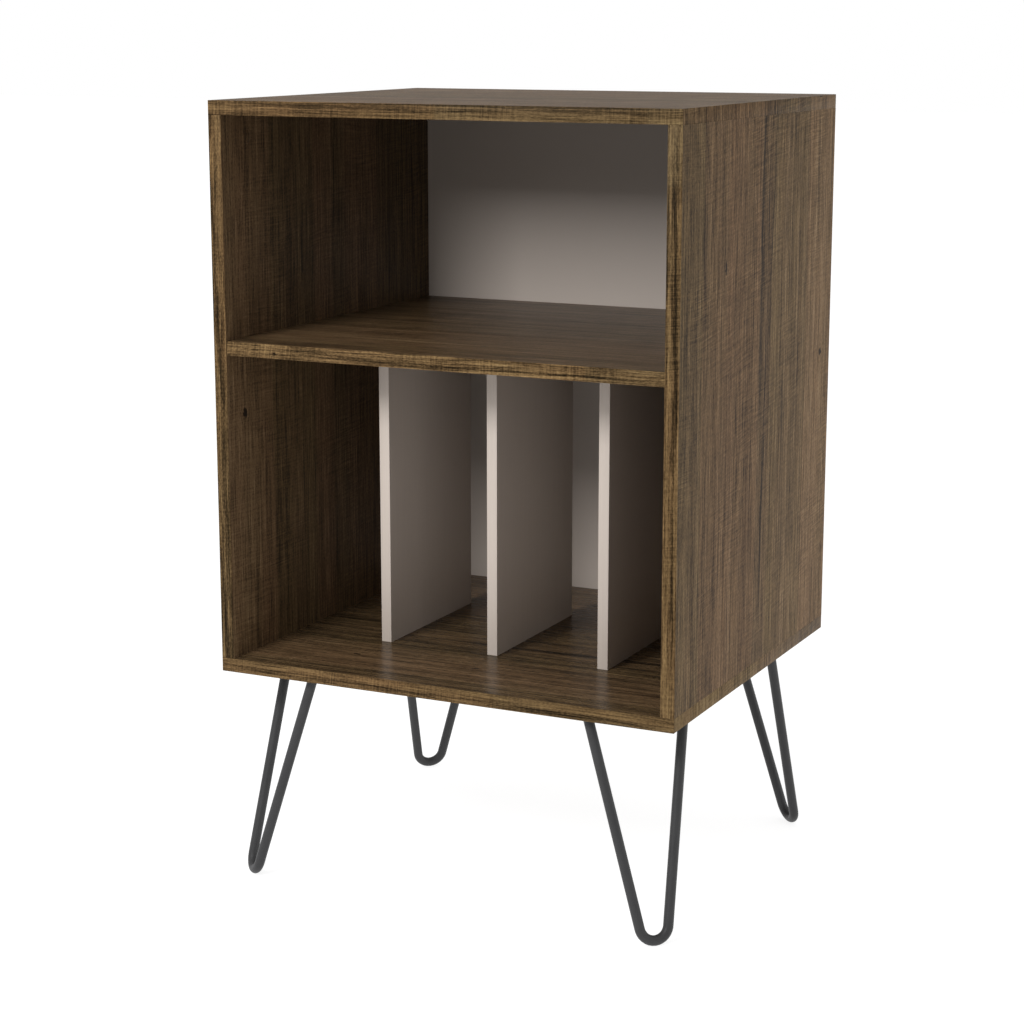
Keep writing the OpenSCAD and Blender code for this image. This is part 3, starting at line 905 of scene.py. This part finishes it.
def hairpinTree():
    inputs = {
        "Spread": "Float", "Depth": "Float", "Bend Radius": "Float", "Rod Diameter": "Float",
        "Step": "Float", "Facets": "Int", "Turn": "Vector", "Top": "Vector", "Ceiling": "Float",
        "Finish": "Material",
    }
    net, given = startTree("hairpinRod", inputs)
    line = net.add("GeometryNodeMeshLine", {}, {"Count": 3})
    path = net.add("GeometryNodeMeshToCurve", {}, {"Mesh": line})
    side = net.add("GeometryNodeInputIndex") - 1.0
    across = side * given["Spread"] * 0.5
    down = (abs(side) - 1.0) * given["Depth"]
    bent = {"Geometry": path, "Position": net.place(across, 0.0, down)}
    path = net.add("GeometryNodeSetPosition", {}, bent)
    bend = {"Curve": path, "Radius": given["Bend Radius"], "Count": leg["bendSteps"]}
    path = net.add("GeometryNodeFilletCurve", {"mode": "POLY"}, bend)
    even = {"Curve": path, "Length": given["Step"]}
    path = net.add("GeometryNodeResampleCurve", {"mode": "LENGTH"}, even)
    circle = {"Resolution": given["Facets"], "Radius": given["Rod Diameter"] * 0.5}
    ring = net.add("GeometryNodeCurvePrimitiveCircle", {}, circle)
    rod = net.add("GeometryNodeCurveToMesh", {}, {"Curve": path, "Profile Curve": ring, "Fill Caps": True})
    turn = net.add("FunctionNodeEulerToRotation", {}, {"Euler": given["Turn"]})
    placed = {"Geometry": rod, "Translation": given["Top"], "Rotation": turn}
    rod = net.add("GeometryNodeTransform", {}, placed)
    x, y, z = net.parts(net.add("GeometryNodeInputPosition"))
    level = net.place(x, y, z.calc("MINIMUM", given["Ceiling"]))
    rod = net.add("GeometryNodeSetPosition", {}, {"Geometry": rod, "Position": level})
    rod = net.add("GeometryNodeSetShadeSmooth", {}, {"Geometry": rod, "Shade Smooth": True})
    return endTree(net, rod, given["Finish"])


def weldTree():  # a rippled bead round each rod, on points that say which way their rod leans
    inputs = {
        "Ring Radius": "Float", "Bead": "Float", "Facets": "Int", "Steps": "Int", "Waves": "Float",
        "Wave": "Float", "Roughness": "Float", "Seed": "Float", "Finish": "Material",
    }
    net, given = startTree("weldBeads", inputs)
    ring = {"Resolution": given["Steps"], "Radius": given["Ring Radius"]}
    path = net.add("GeometryNodeCurvePrimitiveCircle", {}, ring)
    turn = net.add("GeometryNodeSplineParameter") * (2 * math.pi)
    swell = 1.0 + (turn * given["Waves"]).calc("SINE") * given["Wave"]
    path = net.add("GeometryNodeSetCurveRadius", {}, {"Curve": path, "Radius": swell})
    outline = {"Resolution": given["Facets"], "Radius": given["Bead"]}
    section = net.add("GeometryNodeCurvePrimitiveCircle", {}, outline)
    bead = net.add("GeometryNodeCurveToMesh", {}, {"Curve": path, "Profile Curve": section})
    heading = net.add("GeometryNodeInputNamedAttribute", {"data_type": "FLOAT"}, {"Name": "heading"})
    stretch = net.add("GeometryNodeInputNamedAttribute", {"data_type": "FLOAT"}, {"Name": "stretch"})
    leaning = {
        "Points": given["Geometry"], "Instance": bead, "Scale": net.place(stretch, 1.0, 1.0),
        "Rotation": net.add("FunctionNodeEulerToRotation", {}, {"Euler": net.place(0.0, 0.0, heading)}),
    }
    beads = net.add("GeometryNodeInstanceOnPoints", {}, leaning)
    beads = net.add("GeometryNodeRealizeInstances", {}, {"Geometry": beads})
    moved = {0: net.add("GeometryNodeInputPosition"), 1: net.place(given["Seed"], 0.0, 0.0)}
    lump = {
        "Vector": net.add("ShaderNodeVectorMath", {"operation": "ADD"}, moved),
        "Scale": weld["lumpScale"], "Detail": 2.0,
    }
    push = (net.add("ShaderNodeTexNoise", {}, lump) - 0.5) * given["Roughness"]
    outward = {0: net.add("GeometryNodeInputNormal"), "Scale": push}
    offset = net.add("ShaderNodeVectorMath", {"operation": "SCALE"}, outward)
    beads = net.add("GeometryNodeSetPosition", {}, {"Geometry": beads, "Offset": offset})
    beads = net.add("GeometryNodeSetShadeSmooth", {}, {"Geometry": beads, "Shade Smooth": True})
    return endTree(net, beads, given["Finish"])


def roundedOutline(points, radius, steps):  # a convex outline with round corners
    outline = []
    for before, here, after in zip(points[-1:] + points[:-1], points, points[1:] + points[:1]):
        back = (before - here).normalized()
        ahead = (after - here).normalized()
        half = back.angle(ahead) / 2
        centre = here + (back + ahead).normalized() * (radius / math.sin(half))
        first = here + back * (radius / math.tan(half)) - centre
        last = here + ahead * (radius / math.tan(half)) - centre
        sweep = first.angle_signed(last)
        for step in range(steps + 1):
            outline.append(centre + first @ Matrix.Rotation(sweep * step / steps, 2))
    return outline


def plateMesh(name, low, high, side, end):
    long, tip = plate["long"], plate["tip"]
    points = [Vector(p) for p in ((0, 0), (long, 0), (long, tip), (tip, long), (0, long))]
    corner = Vector((high.x if side > 0 else low.x, high.y if end > 0 else low.y))
    shape = bmesh.new()
    flat = roundedOutline(points, plate["corner"], plate["cornerSteps"])
    rim = [shape.verts.new((corner.x - side * p.x, corner.y - end * p.y, low.z)) for p in flat]
    base = shape.faces.new(rim)
    grown = bmesh.ops.extrude_face_region(shape, geom=[base])
    lifted = [item for item in grown["geom"] if isinstance(item, bmesh.types.BMVert)]
    bmesh.ops.translate(shape, verts=lifted, vec=(0, 0, high.z - low.z))
    shape.normal_update()
    edges = [edge for edge in shape.edges if any(len(face.verts) > 4 for face in edge.link_faces)]
    easeEdges(shape, edges, plate["ease"], plate["steps"])
    return toMesh(shape, name, 40.0)


def pointMesh(name, points, **values):
    mesh = bpy.data.meshes.new(name)
    mesh.from_pydata([tuple(point) for point in points], [], [])
    for label, numbers in values.items():
        mesh.attributes.new(label, "FLOAT", "POINT").data.foreach_set("value", numbers)
    return mesh


def makeLegs():
    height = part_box("leg_plate_front_left")[1].z  # of the cabinet's underside
    length = (height - leg["rodDiameter"] / 2) / math.cos(leg["splay"])
    bendDepth = length - leg["bendRadius"]
    slant = math.hypot(leg["spread"] / 2, bendDepth)
    half = math.atan2(leg["spread"] / 2, bendDepth) - math.asin(leg["bendRadius"] / slant)
    depth = leg["spread"] / 2 / math.tan(half)
    rods = hairpinTree()
    welds = weldTree()
    for corner, (side, end) in corners.items():
        low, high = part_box("leg_plate_" + corner)
        top = Vector((
            high.x - plate["reach"] if side > 0 else low.x + plate["reach"],
            high.y - plate["reach"] if end > 0 else low.y + plate["reach"],
            high.z,
        ))
        turn = Euler((-leg["splay"], 0.0, math.atan2(side, -end)))
        inputs = {
            "Spread": leg["spread"], "Depth": depth, "Bend Radius": leg["bendRadius"],
            "Rod Diameter": leg["rodDiameter"], "Step": leg["step"], "Facets": leg["facets"],
            "Turn": tuple(turn), "Top": tuple(top), "Ceiling": low.z + leg["sunk"], "Finish": powder,
        }
        mesh = grow("hairpin_" + corner, rods, pointMesh("empty", []), inputs)
        addPiece("hairpin_" + corner, mesh, powder, "charcoal_steel", "leg_rod_" + corner)
        mesh = plateMesh("mounting_plate_" + corner, low, high, side, end)
        addPiece("mounting_plate_" + corner, mesh, powder, "charcoal_steel", "leg_plate_" + corner)
        feet = []
        headings = []
        stretches = []
        for way in (-1, 1):
            start = top + turn.to_matrix() @ Vector((way * leg["spread"] / 2, 0, 0))
            along = turn.to_matrix() @ Vector((-way * math.sin(half), 0, -math.cos(half)))
            feet.append(start + along * ((low.z - start.z) / along.z))
            headings.append(math.atan2(along.y, along.x))
            stretches.append(-1.0 / along.z)
        inputs = {
            "Ring Radius": leg["rodDiameter"] / 2, "Bead": weld["size"], "Facets": weld["facets"],
            "Steps": weld["steps"], "Waves": float(weld["waves"]), "Wave": weld["wave"],
            "Roughness": weld["roughness"], "Seed": 1.7 * side + 0.9 * end, "Finish": powder,
        }
        carrier = pointMesh("weldPoints", feet, heading=headings, stretch=stretches)
        mesh = grow("weld_" + corner, welds, carrier, inputs)
        addPiece("weld_" + corner, mesh, powder, "charcoal_steel")


makeLegs()
print("hairpin legs made")


# Screws and nails

screws = {  # node it stands for: head, shank and place of each kind
    "leg_screws": {
        "kind": "dome", "head": 8.0, "headHeight": 2.4, "shank": 4.1, "length": 15.0, "pitch": 1.8,
        "axis": (0, 0, 1), "seed": 3,
    },
    "bottom_screws": {
        "kind": "flat", "head": 10.0, "headHeight": 1.8, "shank": 6.4, "length": 50.0, "pitch": 3.0,
        "axis": (0, 0, 1), "seed": 5,
    },
    "divider_screws": {
        "kind": "flat", "head": 7.6, "headHeight": 1.85, "shank": 3.9, "length": 35.0, "pitch": 1.8,
        "axis": (0, 0, 1), "seed": 8,
    },
    "back_nails": {
        "kind": "nail", "head": 4.0, "headHeight": 0.8, "shank": 1.6, "length": 20.0, "pitch": 0.0,
        "axis": (0, -1, 0), "seed": 11,
    },
}

screwShape = {
    "facets": 32,
    "nailFacets": 12,
    "core": 0.72,  # the core of a thread, to its outer diameter
    "rowsPerTurn": 6,
    "recess": 0.52,  # the width of a cross recess, to its head
    "arm": 0.102,  # the width of its arms, to its head
    "depth": 0.75,  # of the recess, to the head's height
    "bottom": (0.45, 0.8),  # length and width of the recess at its bottom, to those at its top
}

crowns = {  # radius and height of a head, as shares of its own, from the middle outwards
    "dome": [(0.0, 1.0), (0.35, 0.97), (0.62, 0.88), (0.82, 0.70), (0.94, 0.45), (1.0, 0.16), (1.0, 0.0)],
    "nail": [(0.0, 1.0), (0.7, 0.96), (0.93, 0.75), (1.0, 0.4), (0.97, 0.0)],
}


def turned(rows, facets, pitch=1.0):  # rows of radius, height and thread depth, revolved about Z
    shape = bmesh.new()
    rings = []
    for radius, height, ridge in rows:
        if radius == 0:
            rings.append([shape.verts.new((0, 0, height))])
            continue
        ring = []
        for step in range(facets):
            phase = (height / pitch + step / facets) % 1.0
            reach = radius + ridge * max(0.0, 1.0 - abs(2.0 * phase - 1.0) * 2.0)
            angle = 2 * math.pi * step / facets
            ring.append(shape.verts.new((reach * math.cos(angle), reach * math.sin(angle), height)))
        rings.append(ring)
    for first, second in zip(rings, rings[1:]):
        for step in range(facets):
            after = (step + 1) % facets
            if len(first) == 1:
                shape.faces.new((first[0], second[step], second[after]))
            elif len(second) == 1:
                shape.faces.new((first[step], first[after], second[0]))
            else:
                shape.faces.new((first[step], first[after], second[after], second[step]))
    return shape


def shankRows(look):  # from under the head to the point
    outer = look["shank"] / 2
    core = outer * (screwShape["core"] if look["pitch"] else 1.0)
    end = look["length"] - look["shank"]
    rows = []
    if look["pitch"]:
        step = look["pitch"] / screwShape["rowsPerTurn"]
        height = look["headHeight"] if look["kind"] == "flat" else 0.3
        while height < end:
            height += step
            rows.append((core, height, outer - core))
    rows.append((core, end, 0.0))
    rows.append((core * 0.3, look["length"] - 0.1, 0.0))
    rows.append((0.0, look["length"], 0.0))
    return rows


def headRows(look):
    radius = look["head"] / 2
    tall = look["headHeight"]
    neck = look["shank"] / 2
    if look["kind"] == "flat":
        return [(0.0, 0.0, 0.0), (radius - 0.15, 0.0, 0.0), (radius, 0.12, 0.0), (neck, tall, 0.0)]
    crown = [(radius * wide, -tall * high, 0.0) for wide, high in crowns[look["kind"]]]
    return crown + [(neck, 0.0, 0.0)]


def recessBars(width, arm, top, bottom):  # two crossing tapered bars
    bars = []
    lengthShare, widthShare = screwShape["bottom"]
    for turn in (0.0, math.pi / 2):
        shape = bmesh.new()
        bmesh.ops.create_cube(shape, size=1.0)
        for vertex in shape.verts:
            deep = vertex.co.z > 0
            vertex.co.x *= width * (lengthShare if deep else 1.0)
            vertex.co.y *= arm * (widthShare if deep else 1.0)
            vertex.co.z = bottom if deep else top
        bmesh.ops.rotate(shape, verts=shape.verts, matrix=Matrix.Rotation(turn, 3, "Z"))
        bars.append(toMesh(shape, "recessBar"))
    return bars


def carve(mesh, cutters):
    holder = bpy.data.objects.new("carving", mesh)
    bpy.context.scene.collection.objects.link(holder)
    knives = []
    for cutter in cutters:
        knife = bpy.data.objects.new("knife", cutter)
        bpy.context.scene.collection.objects.link(knife)
        knives.append(knife)
        modifier = holder.modifiers.new("cut", "BOOLEAN")
        modifier.operation = "DIFFERENCE"
        modifier.solver = "EXACT"
        modifier.object = knife
    graph = bpy.context.evaluated_depsgraph_get()
    carved = bpy.data.meshes.new_from_object(holder.evaluated_get(graph), depsgraph=graph)
    for item in [holder] + knives:
        bpy.data.objects.remove(item)
    return carved


def screwMesh(name, look):
    facets = screwShape["nailFacets" if look["kind"] == "nail" else "facets"]
    shape = turned(headRows(look) + shankRows(look), facets, look["pitch"] or 1.0)
    mesh = toMesh(shape, name)
    if look["kind"] != "nail":
        width = look["head"] * screwShape["recess"]
        face = -look["headHeight"] if look["kind"] == "dome" else 0.0
        depth = look["headHeight"] * screwShape["depth"]
        bars = recessBars(width, look["head"] * screwShape["arm"], face - 0.5, face + depth)
        shape = bmesh.new()
        shape.from_mesh(carve(mesh, bars))
        mesh = toMesh(shape, name)
    lean = Vector((0, 0, 1)).rotation_difference(Vector(look["axis"])).to_matrix().to_4x4()
    mesh.transform(lean @ Matrix.Scale(millimetre, 4))
    return mesh


def fastenerTree():  # one fastener on each point, each turned by chance about its own axis
    inputs = {"Fastener": "Object", "Axis": "Vector", "Seed": "Int", "Finish": "Material"}
    net, given = startTree("fasteners", inputs)
    original = {"transform_space": "ORIGINAL"}
    shape = net.add("GeometryNodeObjectInfo", original, {"Object": given["Fastener"]}, "Geometry")
    limits = {2: 0.0, 3: 2 * math.pi, "Seed": given["Seed"]}
    chance = net.add("FunctionNodeRandomValue", {"data_type": "FLOAT"}, limits, 1)
    spin = net.add("FunctionNodeAxisAngleToRotation", {}, {"Axis": given["Axis"], "Angle": chance})
    values = {"Points": given["Geometry"], "Instance": shape, "Rotation": spin}
    return endTree(net, net.add("GeometryNodeInstanceOnPoints", {}, values), given["Finish"])


def makeFasteners():
    tree = fastenerTree()
    for node, look in screws.items():
        length = look["length"] * millimetre
        seats = []
        for low, high in solidsOf(node):
            middle = (low + high) / 2
            if look["kind"] == "nail":  # nails point forwards, screws upwards
                seats.append((middle.x, low.y + length, middle.z))
            else:
                seats.append((middle.x, middle.y, high.z - length))
        template = bpy.data.objects.new("template", screwMesh(node, look))
        bpy.context.scene.collection.objects.link(template)
        inputs = {"Fastener": template, "Axis": look["axis"], "Seed": look["seed"], "Finish": zinc}
        mesh = grow(node, tree, pointMesh("seats", seats), inputs)
        bpy.data.objects.remove(template)
        addPiece(node + "_turned", mesh, zinc, "zinc_steel", node)


makeFasteners()
print("screws and nails set")
